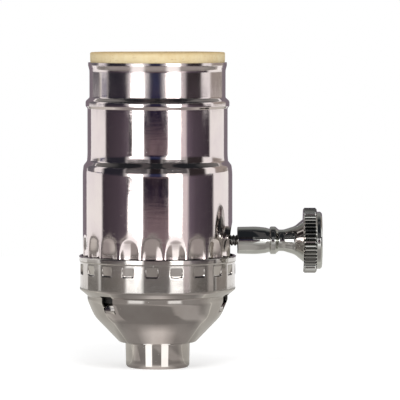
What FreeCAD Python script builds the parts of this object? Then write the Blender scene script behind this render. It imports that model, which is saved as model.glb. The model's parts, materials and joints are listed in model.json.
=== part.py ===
import FreeCAD, Part
import math
import os

# Three-way lamp socket, millimetres, +Z up.
# The origin is the middle of the neck's lower end, and the knob's spindle runs along +X.

V = FreeCAD.Vector
UP = V(0, 0, 1)
RIGHT = V(1, 0, 0)
BACK = V(0, 1, 0)

# Clearances
seat_gap = 0.03  # between pieces that sit in each other and never move
press_gap = 0.02  # radial, between a shank and its hole
running_clearance = 0.06  # radial, round the spindle
rub_gap = 0.1  # between a spring and the face that it rubs on
past = 1.0  # how far a cutter runs on beyond the face that it cuts

least_arc = 0.6  # a smaller rounding is drawn as a bevel
hidden_rounding = 2.0  # a smaller rounding isn't drawn on hidden faces

# Sheets and walls
cap_sheet = 0.45
shell_sheet = 0.38
liner_wall = 0.7
screw_shell_sheet = 0.35

# Radii, from the bulb's screw shell outward
screw_shell_radius = 13.2
liner_stand = 1.8  # from the screw shell's wall to the liner
liner_radius = screw_shell_radius + screw_shell_sheet + liner_stand + liner_wall
mouth_gap = 0.07  # from the liner to the outer shell
mouth_radius = liner_radius + mouth_gap + shell_sheet
middle_step = 0.5
middle_radius = mouth_radius + middle_step
shoulder_step = 1.15
shell_radius = middle_radius + shoulder_step
rim_gap = 0.3  # from the outer shell to the cap's rim
rim_radius = shell_radius + rim_gap + cap_sheet
body_gap = 0.15  # from the liner inward to the switch body
body_radius = liner_radius - liner_wall - body_gap

# Cap: drawn sheet with a neck, a bowl and a snap-in rim
bushing_bore_radius = 4.6
neck_hole_margin = 1.0
neck_hole_radius = bushing_bore_radius + neck_hole_margin
neck_end_radius = 7.7
neck_taper = 0.15
neck_top_radius = neck_end_radius + neck_taper
neck_end_rounding = 0.9
neck_height = 6.25
neck_shoulder_width = 1.45
neck_shoulder_radius = neck_top_radius + neck_shoulder_width
neck_shoulder_rounding = 0.8
shelf_width = 1.85
bowl_radius = rim_radius - shelf_width
bowl_taper = 1.65
bowl_waist_radius = bowl_radius - bowl_taper
bowl_waist_rise = 6.3
bowl_waist_height = neck_height + bowl_waist_rise
bowl_waist_rounding = 7.0
bowl_brim_rise = 3.9
bowl_brim = bowl_waist_height + bowl_brim_rise
bowl_brim_rounding = 2.0
brim_height = 1.15
shelf_foot = bowl_brim + brim_height
shelf_rise = 1.5
rim_foot = shelf_foot + shelf_rise
rim_rounding = 0.6
rim_height = 8.2
rim_top = rim_foot + rim_height
lip_rise = 0.2
lip_height = 1.4
lip_foot = rim_top - lip_height
lip_turn_in = 0.6
lip_bevel = 0.25

# Snap fit between cap and shell
snap_count = 20
snap_phase = -3.5  # degrees from the knob's side to the first flute and tooth
tooth_width = 3.1
tooth_height = 2.5
tooth_drop = 4.4
tooth_foot = rim_top - tooth_drop
tooth_depth = 0.45
tooth_rake = 0.12
flute_depth = 0.6
flute_nose = 7.0
flute_reach = 0.9  # below the teeth
flute_foot = tooth_foot - flute_reach
flute_rise = 2.05  # above the rim
flute_full_top = rim_top + flute_rise

# Lances that carry the switch body
lance_angles = (105.0, 225.0, 345.0)
lance_width = 3.2
lance_slit = 0.25
lance_rise = 1.35
lance_foot = bowl_waist_height + lance_rise
lance_window_over = 0.5
lance_window_top = shelf_foot + lance_window_over
lance_reach = 0.05  # from the switch body's wall out to the tip
lance_tip_radius = body_radius + lance_reach
lance_height = 2.45
lance_tip_height = lance_foot + lance_height
lance_root_step = 0.45
lance_root_radius = bowl_waist_radius + lance_root_step
lance_root_lean = 0.5
lance_root_drop = 1.2

# Heights over the lances: spindle, chamber, deck and the bulb's screw shell
spindle_rise = 14.55
spindle_height = lance_tip_height + spindle_rise
chamber_headroom = 7.6
chamber_ceiling = spindle_height + chamber_headroom
deck_thickness = 4.5
body_deck = chamber_ceiling + deck_thickness
screw_shell_height = 27.0
screw_shell_top = body_deck + screw_shell_height

# Outer shell: one drawn sheet in three steps
mouth_flare = 0.32
mouth_rim_radius = mouth_radius + mouth_flare
bead_rise = 0.45
bead_radius = middle_radius + bead_rise
shoulder_over_deck = 6.2
shoulder_low = body_deck + shoulder_over_deck
shoulder_run = 0.75
shoulder_high = shoulder_low + shoulder_run
shoulder_rounding = 0.9
shoulder_high_rounding = 0.5
middle_height = 13.35
bead_low = shoulder_high + middle_height
bead_slope = 0.6
bead_foot = bead_low + bead_slope
bead_width = 1.4
bead_head = bead_foot + bead_width
bead_back = 0.9
bead_high = bead_head + bead_back
bead_rounding = 1.4
mouth_height = 6.1
mouth_flare_foot = bead_high + mouth_height
mouth_flare_run = 1.1
mouth_flare_head = mouth_flare_foot + mouth_flare_run
mouth_flare_rounding = 1.5
mouth_rim_height = 0.7
shell_top = mouth_flare_head + mouth_rim_height

# Paper liner
liner_flare = 0.33
liner_mouth_radius = liner_radius + liner_flare
liner_stand_out = 2.5
liner_top = shell_top + liner_stand_out
liner_edge_bevel = 0.2
liner_flare_start = 0.5  # above the foot of the shell's flare
liner_flare_foot = mouth_flare_foot + liner_flare_start
liner_flare_over = 0.5  # above the shell's top
liner_flare_head = shell_top + liner_flare_over

# Neck bushing and its set screw
bushing_collar_inset = 0.6
bushing_collar_radius = neck_shoulder_radius - bushing_collar_inset
bushing_collar_height = 1.2
set_screw_radius = 1.75
set_screw_height = 3.3
set_screw_stand = 1.1
set_screw_hole_gap = 0.15
set_screw_tip_gap = 0.15  # from the bore, so that a nipple still turns in
screw_slot_width = 0.7
screw_slot_depth = 0.7
screw_head_bevel = 0.3  # share of a head's height

# Moulded switch body
flange_inset = 0.05
body_flange_radius = liner_radius - flange_inset
body_flange_height = 3.0
boss_radius = 4.2
boss_inset = 0.5
boss_end = shell_radius - boss_inset
stem_slot_gap = 0.3
stem_slot_width = 2 * (boss_radius + stem_slot_gap)
liner_slot_gap = 0.5
liner_slot_width = 2 * (boss_radius + liner_slot_gap)
chamber_half_x = 9.0
chamber_half_y = 7.5
chamber_corner = 1.5
bearing_length = 3.0
bearing_end_gap = 0.2

# Cover under the switch chamber
cover_margin = 1.8  # round the rivets
cover_rivet_x = chamber_half_x + cover_margin
cover_radius = cover_rivet_x + cover_margin
cover_thickness = 1.4
post_gap = 0.3
post_width = 2.4
post_depth = 2.2
post_outer_y = chamber_half_y - post_gap
cover_rivet_radius = 0.9
cover_rivet_head_radius = 1.5
cover_rivet_head = 0.5
cover_rivet_length = 5.0

# Spindle with its clip, and the rotor and the detent cam between them
spindle_radius = 1.35
spindle_left = -chamber_half_x - bearing_length
end_play = 0.1
clip_end_gap = 0.25
clip_thickness = 0.6
clip_left = chamber_half_x - clip_end_gap - clip_thickness
clip_radius = 2.6
clip_groove_radius = 1.0
clip_mouth = 1.9
drive_square = 1.9
drive_shoulder = 0.05
drive_right = clip_left - drive_shoulder
detent_right = drive_right - end_play
detent_width = 3.0
detent_left = detent_right - detent_width
detent_across_flats = 6.0
detent_corner_radius = 3.9
rotor_radius = 4.6
rotor_right = detent_left - end_play
rotor_end_gap = 0.3
rotor_left = rotor_end_gap - chamber_half_x
drive_left = rotor_left - end_play

# The rotor's contact sleeve, the detent spring and the leaves
track_radius = 5.0
track_width = 3.0
track_inset = 2.15
low_x = rotor_right - track_inset
feed_x = low_x - track_width
high_x = feed_x - track_width
track_half_angle = 38.0
spring_thickness = 0.3
spring_rise = 0.5
spring_bend = 0.8
spring_ledge_run = 0.4
spring_slope_run = 2.2
leaf_width = 1.8
leaf_tail = 1.4
leaf_land_run = 0.4
leaf_tip_y = 0.3
leaf_tip_bend = 1.2
leaf_tip_over = 1.2
leaf_tip_rise = 0.6

# Contacts on the deck and their rivets
contact_thickness = 0.4
contact_rivet_inset = 1.7
contact_rivet_y = chamber_half_y - contact_rivet_inset
rivet_radius = 0.75
rivet_head_radius = 1.3
rivet_head = 0.5
feed_rivet_cover = 2.0  # of the deck over the rivet's end
feed_rivet_depth = deck_thickness - feed_rivet_cover
centre_contact_width = 3.0
centre_contact_rise = 3.4
centre_contact_run = 0.6
centre_contact_half_top = 1.1
centre_contact_bend = 1.2
centre_contact_lip = 1.1
ring_contact_width = 2.6
ring_contact_rise = 2.3
ring_contact_radius = 8.2
ring_contact_run = 0.4
ring_contact_top = 1.8
ring_contact_lip = 1.0
contact_bend = 0.8
contact_tail = 1.4

# Terminals, their screws and the pockets for them
terminal_plate = 0.6
terminal_half_width = 4.0
terminal_screw_rise = 9.15  # over the lances
terminal_screw_height = lance_tip_height + terminal_screw_rise
terminal_below = 4.0
terminal_foot = terminal_screw_height - terminal_below
terminal_above = 4.5
terminal_top = terminal_screw_height + terminal_above
feed_tail = 0.5
feed_tail_width = 2.4
neutral_tail_width = 4.6
neutral_tail_reach = 1.9
terminal_screw_radius = 1.75
terminal_screw_depth = 3.2
terminal_head_radius = 3.4
terminal_head = 1.5
hot_screw_slot = 35.0
neutral_screw_slot = 10.0
pocket_depth = 3.0
pocket_floor = body_radius - pocket_depth
pocket_gap = 0.5
pocket_half_width = terminal_half_width + pocket_gap
pocket_foot = terminal_foot - pocket_gap
pocket_head_gap = 0.6
pocket_top = terminal_top + pocket_head_gap
wire_notch_width = 5.0
wire_notch_step = 0.8
wire_notch_floor = pocket_floor + wire_notch_step

# Screw shell for the bulb: a narrower cup below, then the wall that carries the thread
screw_cup_step = 0.45
screw_cup_radius = screw_shell_radius - screw_cup_step
screw_cup_height = 3.95
screw_cup_head = body_deck + screw_cup_height
screw_cup_slope = 0.45
screw_wall_foot = screw_cup_head + screw_cup_slope
screw_shell_ledge = 1.55
screw_shell_floor_hole = screw_cup_radius - screw_shell_ledge
shell_screw_inset = 1.95
shell_screw_y = screw_cup_radius - shell_screw_inset
ear_half_width = 4.0
ear_margin = 1.8
ear_radius = shell_screw_y - ear_margin
shell_screw_radius = 1.1
shell_screw_cover = 0.5  # of the deck under the screw's end
shell_screw_depth = deck_thickness - shell_screw_cover
shell_screw_head_radius = 1.75
shell_screw_head = 1.2
front_screw_slot = 20.0
back_screw_slot = 65.0

# Knob: one turned piece with a knurled wheel, along X from its inner end
knob_stand = 0.25
knob_left = rim_radius + lip_rise + knob_stand
barrel_radius = 3.25
barrel_bulge = 3.35
barrel_middle = 4.55
barrel_run = 2.3
barrel_end = barrel_middle + barrel_run
barrel_end_radius = 3.1
waist_run = 1.0
waist_left = barrel_end + waist_run
waist_radius = 2.8
knob_bead_step = 0.15
knob_bead_left = waist_left + knob_bead_step
knob_bead_width = 1.25
knob_bead_right = knob_bead_left + knob_bead_width
knob_bead_radius = 3.35
knob_bead_back = 0.8
knob_neck_left = knob_bead_right + knob_bead_back
knob_neck_width = 1.2
knob_neck_right = knob_neck_left + knob_neck_width
knob_neck_radius = 2.6
flare_run = 2.7
flare_middle = knob_neck_right + flare_run
flare_middle_radius = 3.45
flare_end_run = 2.05
flare_end_radius = 5.2
wheel_left = flare_middle + flare_end_run
wheel_width = 3.25
wheel_right = wheel_left + wheel_width
wheel_radius = 7.9
wheel_bevel = 0.35
knurl_count = 50
knurl_depth = 0.4
knurl_land = 0.4  # share of a tooth's pitch
knob_face_step = 0.55
knob_face_radius = wheel_radius - knurl_depth - knob_face_step
knob_face_run = 1.3
knob_end = wheel_right + knob_face_run
knob_face_bevel = 0.4
knob_bore_depth = 14.0
spindle_end_gap = 0.35
spindle_right = knob_left + knob_bore_depth - spindle_end_gap
barrel_edge_rounding = 0.25
barrel_rounding = 12.0
barrel_end_rounding = 1.5
knob_bead_rounding = 0.5
knob_bead_foot_rounding = 0.6
knob_neck_rounding = 2.5
flare_rounding = 3.0


def unit(a, b):
    """Direction from one corner of an outline to the next."""
    length = math.hypot(b[0] - a[0], b[1] - a[1])
    return (b[0] - a[0]) / length, (b[1] - a[1]) / length


def inset(corners, depth):
    """The same outline, moved to its left by depth, with its roundings still parallel."""
    moved = []
    for i, corner in enumerate(corners):
        here = corners[max(i - 1, 0)], corners[max(i, 1)]
        then = corners[min(i, len(corners) - 2)], corners[min(i + 1, len(corners) - 1)]
        before = unit(*here)
        after = unit(*then)
        scale = depth / (1 + before[0] * after[0] + before[1] * after[1])
        turn = before[0] * after[1] - before[1] * after[0]
        rounding = corner[2] - math.copysign(depth, turn) if corner[2] else 0
        moved.append(
            (
                corner[0] - (before[1] + after[1]) * scale,
                corner[1] + (before[0] + after[0]) * scale,
                max(rounding, 0),
            )
        )
    return moved


def sharp(corners, least):
    """The same outline, with only the roundings that are larger than least."""
    return [(a, b, c if c > least else 0) for a, b, c in corners]


def path_edges(corners, place):
    """Straight edges with arcs or bevels at the corners; place turns a corner into a vector."""
    edges = []
    last = corners[0][:2]
    for i in range(1, len(corners) - 1):
        here = corners[i]
        back = unit(here, corners[i - 1])
        on = unit(here, corners[i + 1])
        half = math.acos(max(-1, min(1, back[0] * on[0] + back[1] * on[1]))) / 2
        if here[2] <= 0 or half > math.pi / 2 - 0.001:
            edges.append(Part.makeLine(place(*last), place(*here[:2])))
            last = here[:2]
            continue
        room = 0.49 * min(
            math.dist(here[:2], corners[i - 1][:2]), math.dist(here[:2], corners[i + 1][:2])
        )
        reach = min(here[2] / math.tan(half), room)
        radius = reach * math.tan(half)
        middle = unit((0, 0), (back[0] + on[0], back[1] + on[1]))
        crown = radius / math.sin(half) - radius
        start = here[0] + back[0] * reach, here[1] + back[1] * reach
        crest = here[0] + middle[0] * crown, here[1] + middle[1] * crown
        end = here[0] + on[0] * reach, here[1] + on[1] * reach
        edges.append(Part.makeLine(place(*last), place(*start)))
        if here[2] < least_arc:
            edges.append(Part.makeLine(place(*start), place(*end)))
        else:
            edges.append(Part.Arc(place(*start), place(*crest), place(*end)).toShape())
        last = end
    edges.append(Part.makeLine(place(*last), place(*corners[-1][:2])))
    return edges


def closed_face(edges, *more):
    """A face inside the edges, closed by straight lines through any further points."""
    points = [edges[-1].valueAt(edges[-1].LastParameter), *more]
    points.append(edges[0].valueAt(edges[0].FirstParameter))
    lines = [Part.makeLine(a, b) for a, b in zip(points, points[1:])]
    return Part.Face(Part.Wire(edges + lines))


def upright(r, z):
    return V(r, 0, z)


def across(y, z):
    return V(0, y, z)


def along_spindle(x, r):
    return V(x, 0, spindle_height + r)


def filled(corners, low, high):
    """Solid of revolution about Z from the outline to the axis, run on to the heights low and high."""
    run = [(corners[0][0], low, 0)] if low < corners[0][1] else []
    end = [(corners[-1][0], high, 0)] if high > corners[-1][1] else []
    edges = path_edges(run + list(corners) + end, upright)
    face = closed_face(edges, upright(0, high), upright(0, low))
    return face.revolve(V(), UP, 360)


def strip(corners, thickness, width, place, direction):
    """A bent strip: the outline and its inset, drawn out by width along direction."""
    edges = path_edges(corners, place)
    inner = path_edges(list(reversed(inset(corners, thickness))), place)
    ends = [inner[0].valueAt(inner[0].FirstParameter), inner[-1].valueAt(inner[-1].LastParameter)]
    lines = [
        Part.makeLine(edges[-1].valueAt(edges[-1].LastParameter), ends[0]),
        Part.makeLine(ends[1], edges[0].valueAt(edges[0].FirstParameter)),
    ]
    face = Part.Face(Part.Wire(edges + [lines[0]] + inner + [lines[1]]))
    return face.extrude(direction * width).translated(direction * (-width / 2))


def block(x0, x1, y0, y1, z0, z1):
    return Part.makeBox(x1 - x0, y1 - y0, z1 - z0, V(x0, y0, z0))


def post(radius, z0, z1, x=0, y=0):
    return Part.makeCylinder(radius, z1 - z0, V(x, y, z0), UP)


def bar(radius, x0, x1):
    """Round bar on the spindle's axis."""
    return Part.makeCylinder(radius, x1 - x0, V(x0, 0, spindle_height), RIGHT)


def round_z(shapes, angle):
    return [s.rotated(V(), UP, angle) for s in shapes]


def snap_angles():
    return [snap_phase + 360 * i / snap_count for i in range(snap_count)]


def arched_slot(width, low):
    """Upright slot on the knob's side, open below, with a round head on the spindle's axis."""
    half = width / 2
    reach = rim_radius
    head = Part.makeCylinder(half, reach, V(0, 0, spindle_height), RIGHT)
    return head.fuse(block(0, reach, -half, half, low, spindle_height))


# Cap
def cap_outline():
    lip_radius = rim_radius + lip_rise
    return [
        (neck_hole_radius, 0, 0),
        (neck_end_radius, 0, neck_end_rounding),
        (neck_top_radius, neck_height, 0),
        (neck_shoulder_radius, neck_height, neck_shoulder_rounding),
        (bowl_waist_radius, bowl_waist_height, bowl_waist_rounding),
        (bowl_radius, bowl_brim, bowl_brim_rounding),
        (bowl_radius, shelf_foot, 0),
        (rim_radius, rim_foot, rim_rounding),
        (rim_radius, lip_foot, 0),
        (lip_radius, lip_foot + lip_rise, 0),
        (lip_radius, rim_top - lip_bevel, 0),
        (lip_radius - lip_bevel, rim_top, 0),
        (lip_radius - lip_turn_in, rim_top, 0),
    ]


def shelf_seat(radius):
    """Height at which the shelf's inner face carries an edge of this radius."""
    low, high = inset(cap_outline(), cap_sheet)[6:8]
    return low[1] + (radius - low[0]) * (high[1] - low[1]) / (high[0] - low[0])


def tooth_cutter(grow):
    """Wedge pressed into the rim: steep at its foot and sides, run out at its head."""
    half = tooth_width / 2 + grow
    foot = tooth_foot - grow
    outer = rim_radius + past
    deep = rim_radius - tooth_depth - grow
    head = tooth_foot + tooth_height
    wire = Part.makePolygon(
        [
            V(outer, -half, foot),
            V(deep, -half, foot + tooth_rake),
            V(rim_radius - grow, -half, head),
            V(outer, -half, head),
            V(outer, -half, foot),
        ]
    )
    return Part.Face(wire).extrude(V(0, 2 * half, 0))


def lance_window():
    half = lance_width / 2 + lance_slit
    return block(lance_tip_radius, rim_radius, -half, half, lance_foot, lance_window_top)


def lance_tongue(blank):
    """Tongue bent in from the window's foot, trimmed to the cap's own outer face."""
    corners = [
        (lance_root_radius - lance_root_lean, lance_foot - lance_root_drop, 0),
        (lance_root_radius, lance_foot, 0),
        (lance_tip_radius + cap_sheet, lance_tip_height, 0),
    ]
    tongue = strip(corners, cap_sheet, lance_width, upright, BACK)
    half = lance_width
    return tongue.common(blank).common(block(0, bowl_radius, -half, half, 0, lance_tip_height))


def cap():
    outline = cap_outline()
    blank = filled(outline, 0, rim_top)
    air = filled(sharp(inset(outline, cap_sheet), hidden_rounding), -past, rim_top + past)
    marks = []
    hollows = []
    for angle in snap_angles():
        marks += round_z([tooth_cutter(0)], angle)
        hollows += round_z([tooth_cutter(cap_sheet)], angle)
    body = blank.cut(marks).cut(air.cut(hollows))
    for angle in lance_angles:
        body = body.cut(round_z([lance_window()], angle)[0])
        body = body.fuse(round_z([lance_tongue(blank)], angle)[0])
    return body.cut(set_screw_bar(set_screw_radius + set_screw_hole_gap, 0, neck_top_radius + past))


def set_screw_bar(radius, near, far):
    """Round bar on the set screw's axis, at the back of the neck."""
    return Part.makeCylinder(radius, far - near, V(0, near, set_screw_height), BACK)


# Neck bushing and set screw
def bushing_floor():
    return neck_height + cap_sheet + seat_gap


def neck_bushing():
    radius = neck_end_radius - cap_sheet - seat_gap
    foot = cap_sheet + seat_gap
    floor = bushing_floor()
    top = floor + bushing_collar_height
    body = post(radius, foot, top).fuse(post(bushing_collar_radius, floor, top))
    body = body.fuse(post(neck_hole_radius - seat_gap, 0, foot))
    body = body.cut(post(bushing_bore_radius, -past, top + past))
    return body.cut(set_screw_bar(set_screw_radius + press_gap, 0, neck_top_radius))


def set_screw():
    end = neck_top_radius + set_screw_stand
    screw = set_screw_bar(set_screw_radius, bushing_bore_radius + set_screw_tip_gap, end)
    half = screw_slot_width / 2
    low = set_screw_height - set_screw_radius
    high = set_screw_height + set_screw_radius
    return screw.cut(block(-half, half, end - screw_slot_depth, end + past, low, high))


# Outer shell
def shell_foot():
    return shelf_seat(shell_radius) + seat_gap


def shell_outline():
    return [
        (shell_radius, shell_foot(), 0),
        (shell_radius, shoulder_low, shoulder_rounding),
        (middle_radius, shoulder_high, shoulder_high_rounding),
        (middle_radius, bead_low, 0),
        (bead_radius, bead_foot, bead_rounding),
        (bead_radius, bead_head, bead_rounding),
        (mouth_radius, bead_high, 0),
        (mouth_radius, mouth_flare_foot, mouth_flare_rounding),
        (mouth_rim_radius, mouth_flare_head, 0),
        (mouth_rim_radius, shell_top, 0),
    ]


def flute_cutter(grow):
    """Upright roller with a ball end, which crimps the skirt."""
    nose = flute_nose + grow
    x = shell_radius - flute_depth + flute_nose
    roller = post(nose, flute_foot - grow, flute_full_top, x)
    ball = Part.makeSphere(nose, V(x, 0, flute_full_top))
    return roller.fuse(ball)


def outer_shell():
    outline = shell_outline()
    blank = filled(outline, shell_foot(), shell_top)
    hidden = sharp(inset(outline, shell_sheet), hidden_rounding)
    air = filled(hidden, shell_foot() - past, shell_top + past)
    marks = []
    hollows = []
    for angle in snap_angles():
        marks += round_z([flute_cutter(0)], angle)
        hollows += round_z([flute_cutter(shell_sheet)], angle)
    body = blank.cut(marks).cut(air.cut(hollows))
    return body.cut(arched_slot(stem_slot_width, 0))


# Paper liner
def paper_liner():
    foot = body_foot() + body_flange_height + seat_gap
    outline = [
        (liner_radius, foot, 0),
        (liner_radius, liner_flare_foot, 0),
        (liner_mouth_radius, liner_flare_head, 0),
        (liner_mouth_radius, liner_top - liner_edge_bevel, 0),
        (liner_mouth_radius - liner_edge_bevel, liner_top, 0),
    ]
    bore = [
        (liner_radius - liner_wall, foot, 0),
        (liner_radius - liner_wall, liner_flare_foot, 0),
        (liner_mouth_radius - liner_wall, liner_flare_head, 0),
        (liner_mouth_radius - liner_wall, liner_top, 0),
    ]
    body = filled(outline, foot, liner_top).cut(filled(bore, foot - past, liner_top + past))
    return body.cut(arched_slot(liner_slot_width, 0))


# Switch body
def body_foot():
    return lance_tip_height + seat_gap


def chamber():
    low = body_foot()
    box = block(-chamber_half_x, chamber_half_x, -chamber_half_y, chamber_half_y, low, chamber_ceiling)
    upright_edges = [e for e in box.Edges if abs(e.Length - (chamber_ceiling - low)) < 0.001]
    return box.makeFillet(chamber_corner, upright_edges)


def switch_body():
    foot = body_foot()
    body = post(body_radius, foot, body_deck)
    body = body.fuse(post(body_flange_radius, foot, foot + body_flange_height))
    root = body_radius - past
    ledge = foot + body_flange_height
    rib = bar(boss_radius, root, boss_end)
    rib = rib.fuse(block(root, boss_end, -boss_radius, boss_radius, ledge, spindle_height))
    body = body.fuse(rib.common(post(boss_end, ledge, body_deck)))
    body = body.cut(chamber())
    body = body.cut(bar(spindle_radius + running_clearance, spindle_left - bearing_end_gap, boss_end + past))
    body = body.cut(post(cover_radius + seat_gap, foot - past, foot + cover_thickness))
    for side in (-1, 1):
        body = body.cut(terminal_pocket(side))
        shank = post(cover_rivet_radius + press_gap, foot, foot + cover_rivet_length, side * cover_rivet_x)
        body = body.cut(shank)
        screw_foot = body_deck - shell_screw_depth - press_gap
        body = body.cut(post(shell_screw_radius + press_gap, screw_foot, body_deck, 0, side * shell_screw_y))
    for x in (low_x, high_x):
        body = body.cut(rivet_hole(x, contact_rivet_y))
    feed_top = chamber_ceiling + feed_rivet_depth + press_gap
    feed_hole = post(rivet_radius + press_gap, chamber_ceiling - past, feed_top, feed_x, -contact_rivet_y)
    body = body.cut(feed_hole)
    return body.cut(tail_grooves())


def rivet_hole(x, y):
    """Hole from inside the chamber to above the deck."""
    return post(rivet_radius + press_gap, chamber_ceiling - 2 * past, body_deck + 2 * past, x, y)


def tail_grooves():
    """Grooves for the tails of the two terminals, up the body's side and then inward."""
    half = feed_tail_width / 2 + press_gap
    left, right = feed_x - half, feed_x + half
    low = chamber_ceiling - feed_tail - press_gap
    inner = past - chamber_half_y
    hot = block(left, right, -body_radius, -pocket_floor, pocket_foot, chamber_ceiling)
    hot = hot.fuse(block(left, right, -body_radius, inner, low, chamber_ceiling))
    half = neutral_tail_width / 2 + press_gap
    low = body_deck - terminal_plate - press_gap
    inner = neutral_tail_end() - seat_gap
    neutral = block(-half, half, pocket_floor, body_radius, pocket_foot, body_deck + past)
    neutral = neutral.fuse(block(-half, half, inner, body_radius, low, body_deck + past))
    return hot.fuse(neutral)


def terminal_pocket(side):
    """Pocket for one terminal, the notch for its wire and the hole for its screw."""
    half = pocket_half_width
    pocket = block(-half, half, pocket_floor, body_radius + past, pocket_foot, pocket_top)
    half = wire_notch_width / 2
    outer = body_flange_radius + past
    pocket = pocket.fuse(block(-half, half, wire_notch_floor, outer, 0, pocket_foot + past))
    hole = Part.makeCylinder(
        terminal_screw_radius + press_gap,
        terminal_screw_depth + press_gap,
        V(0, pocket_floor - terminal_screw_depth - press_gap, terminal_screw_height),
        BACK,
    )
    pocket = pocket.fuse(hole)
    return pocket if side > 0 else pocket.rotated(V(), UP, 180)


def switch_cover():
    foot = body_foot()
    top = foot + cover_thickness - press_gap
    body = post(cover_radius, foot, top)
    middle = (detent_left + detent_right) / 2
    left = middle - post_width / 2
    right = middle + post_width / 2
    for side in (-1, 1):
        inner, outer = sorted((side * post_outer_y, side * (post_outer_y - post_depth)))
        body = body.fuse(block(left, right, inner, outer, foot, detent_spring_foot()))
        body = body.cut(post(cover_rivet_radius + press_gap, foot - past, top + past, side * cover_rivet_x))
    return body


def cover_rivets():
    foot = body_foot()
    rivets = []
    for side in (-1, 1):
        x = side * cover_rivet_x
        under = foot - seat_gap
        shank = post(cover_rivet_radius, under, foot + cover_rivet_length - press_gap, x)
        rivets.append(shank.fuse(post(cover_rivet_head_radius, under - cover_rivet_head, under, x)))
    return Part.makeCompound(rivets)


# Spindle and what turns with it
def square_bar(side, x0, x1):
    half = side / 2
    return block(x0, x1, -half, half, spindle_height - half, spindle_height + half)


def spindle():
    body = bar(spindle_radius, spindle_left, spindle_right)
    drive = bar(spindle_radius + past, drive_left, drive_right)
    body = body.cut(drive.cut(square_bar(drive_square, drive_left - past, drive_right + past)))
    x0 = clip_left - press_gap
    x1 = clip_left + clip_thickness + press_gap
    return body.cut(bar(spindle_radius + past, x0, x1).cut(bar(clip_groove_radius, x0, x1)))


def retaining_clip():
    x0 = clip_left
    x1 = clip_left + clip_thickness
    ring = bar(clip_radius, x0, x1).cut(bar(clip_groove_radius + press_gap, x0 - past, x1 + past))
    half = clip_mouth / 2
    return ring.cut(block(x0, x1, -half, half, spindle_height - clip_radius - past, spindle_height))


def rotor():
    body = bar(rotor_radius, rotor_left, rotor_right)
    return body.cut(square_bar(drive_square + 2 * press_gap, rotor_left - past, rotor_right + past))


def track(x, start, sweep):
    """Part of the contact sleeve at x, over sweep degrees from start, measured from +Y to +Z."""
    piece = Part.makeCylinder(track_radius, track_width, V(0, 0, -track_width / 2), UP, sweep)
    piece = piece.rotated(V(), V(1, 1, 1), 120).rotated(V(), RIGHT, start)
    return piece.translated(V(x, 0, spindle_height))


def rotor_contact():
    """Sleeve with a full feed ring, two low-circuit pads and one high-circuit pad."""
    half = track_half_angle
    body = track(feed_x, 0, 360)
    body = body.fuse(track(low_x, -half, 2 * half))
    body = body.fuse(track(low_x, 180 - half, 2 * half))
    body = body.fuse(track(high_x, 270 - half, 90 + 2 * half))
    body = body.cut(bar(rotor_radius + press_gap, rotor_left, rotor_right))
    return body.removeSplitter()


def detent_cam():
    """Four-flat cam, one flat for each setting of the switch."""
    body = square_bar(detent_across_flats, detent_left, detent_right)
    body = body.common(bar(detent_corner_radius, detent_left, detent_right))
    return body.cut(square_bar(drive_square + 2 * press_gap, detent_left - past, detent_right + past))


def detent_spring_foot():
    return spindle_height - detent_across_flats / 2 - rub_gap - spring_thickness - spring_rise


def detent_spring():
    low = detent_spring_foot() + seat_gap
    high = low + spring_rise - seat_gap
    end = post_outer_y
    ledge = end - post_depth - spring_ledge_run
    arch = ledge - spring_slope_run
    corners = [
        (-end, low, 0),
        (-ledge, low, spring_bend),
        (-arch, high, spring_bend),
        (arch, high, spring_bend),
        (ledge, low, spring_bend),
        (end, low, 0),
    ]
    middle = (detent_left + detent_right) / 2
    return strip(corners, spring_thickness, post_width, across, RIGHT).translated(V(middle, 0, 0))


def wiper(drop):
    """Spring leaf under the chamber's ceiling: its tip rests over the rotor's sleeve."""
    top = chamber_ceiling - drop
    tip = spindle_height + track_radius + rub_gap + spring_thickness
    corners = [
        (contact_rivet_y + leaf_tail, top, 0),
        (contact_rivet_y - leaf_tail - leaf_land_run, top, spring_bend),
        (leaf_tip_y, tip, leaf_tip_bend),
        (-leaf_tip_over, tip + leaf_tip_rise, 0),
    ]
    return strip(corners, spring_thickness, leaf_width, across, RIGHT)


def low_leaf():
    return wiper(seat_gap).translated(V(low_x, 0, 0)).cut(rivet_hole(low_x, contact_rivet_y))


def high_leaf():
    return wiper(seat_gap).translated(V(high_x, 0, 0)).cut(rivet_hole(high_x, contact_rivet_y))


def feed_leaf():
    leaf = wiper(feed_tail + 2 * seat_gap).rotated(V(), UP, 180)
    return leaf.translated(V(feed_x, 0, 0)).cut(rivet_hole(feed_x, -contact_rivet_y))


# Contacts on the deck
def aim(x, y):
    """Angle of the way from a contact's rivet to a point of the deck."""
    return math.degrees(math.atan2(y[1] - y[0], x[1] - x[0]))


def deck_strip(corners, width, x, angle):
    """Strip whose outline's first value runs from the rivet, turned to its angle and set on the deck."""
    piece = strip(corners, -contact_thickness, width, upright, BACK)
    piece = piece.cut(rivet_hole(0, 0))
    return piece.rotated(V(), UP, angle).translated(V(x, contact_rivet_y, 0))


def centre_contact():
    low = body_deck + seat_gap + contact_thickness
    high = low + centre_contact_rise
    reach = math.hypot(high_x, contact_rivet_y)
    corners = [
        (-contact_tail, low, 0),
        (contact_tail + centre_contact_run, low, contact_bend),
        (reach - centre_contact_half_top, high, centre_contact_bend),
        (reach + centre_contact_half_top, high, contact_bend),
        (reach + centre_contact_half_top + centre_contact_lip, high - centre_contact_lip, 0),
    ]
    angle = aim((high_x, 0), (contact_rivet_y, 0))
    return deck_strip(corners, centre_contact_width, high_x, angle)


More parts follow.
